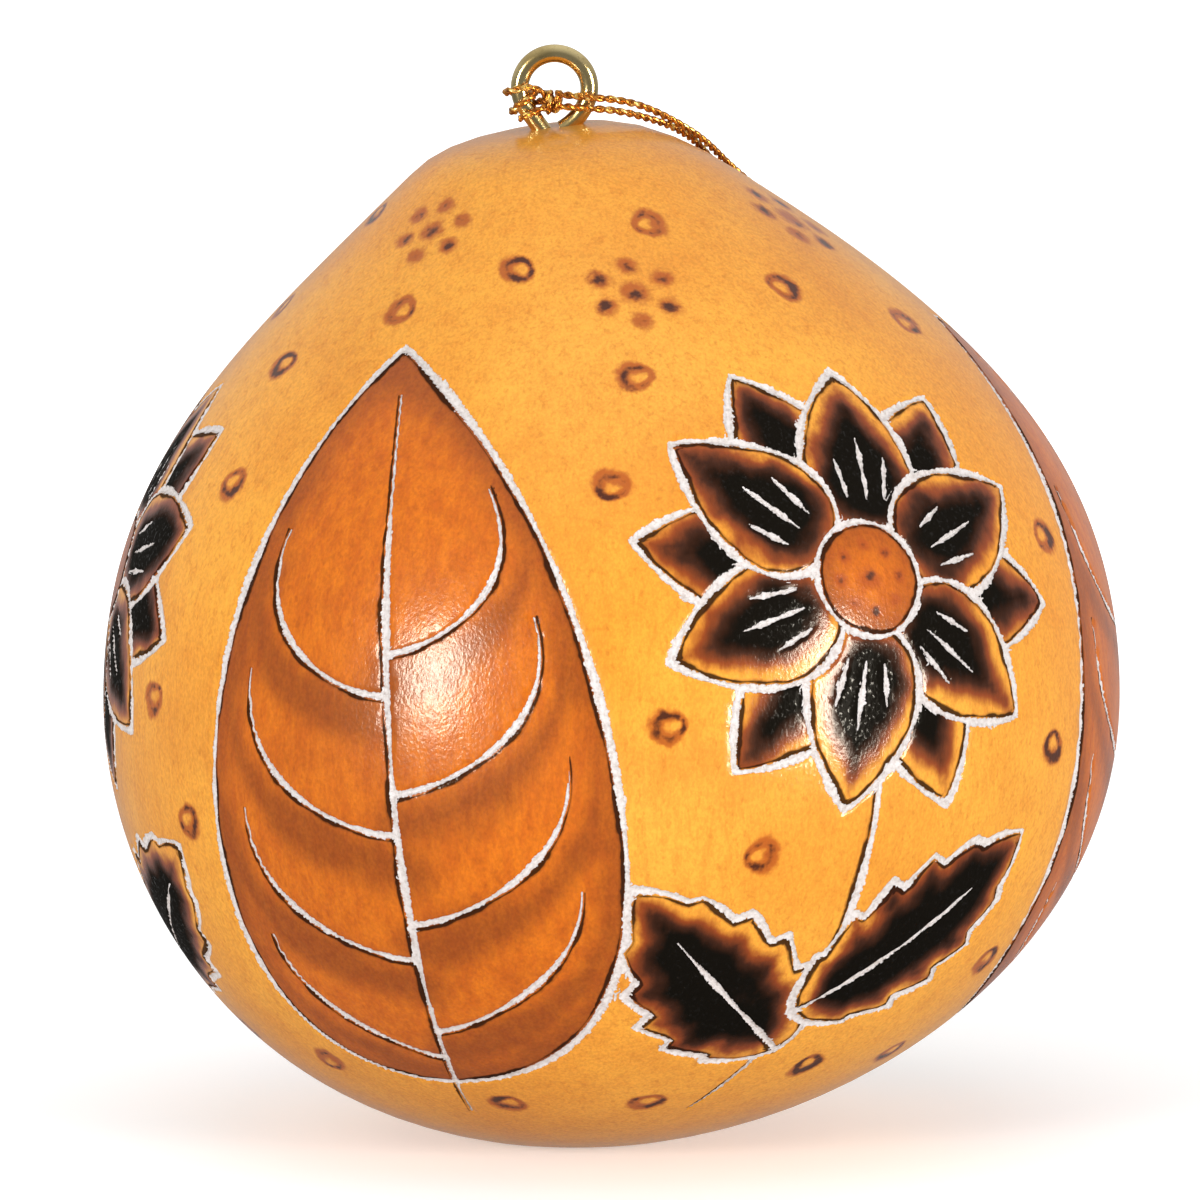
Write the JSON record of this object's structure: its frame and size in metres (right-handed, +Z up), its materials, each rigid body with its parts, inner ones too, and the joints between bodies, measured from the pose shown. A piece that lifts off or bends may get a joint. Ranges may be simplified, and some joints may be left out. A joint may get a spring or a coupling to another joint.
{
  "type": "carved gourd ornament",
  "caption": "Hollow dried gourd ornament, top-shaped and lopsided, with carved and burnt floral lines, a screw eye in its crown and a knotted metallic hanging thread.",
  "frame": {"origin": "middle of the flat under the gourd that it stands on", "axes": "+Z up towards the screw eye, -Y towards the front, +X to the right, the side that the gourd leans to and the thread leaves over"},
  "size_m": [0.075, 0.075, 0.0809],
  "materials": {
    "lacquered_gourd": "satin lacquer over carved and burnt gourd skin",
    "brass": "bright drawn wire",
    "metallic_thread": "two-ply twist wrapped in copper-gold foil"
  },
  "bodies": {
    "root": {"gourd_shell": "lacquered_gourd", "screw_eye": "brass", "thread_hitch": "metallic_thread", "thread_knot": "metallic_thread", "hanging_loop": "metallic_thread"}
  },
  "joints": []
}
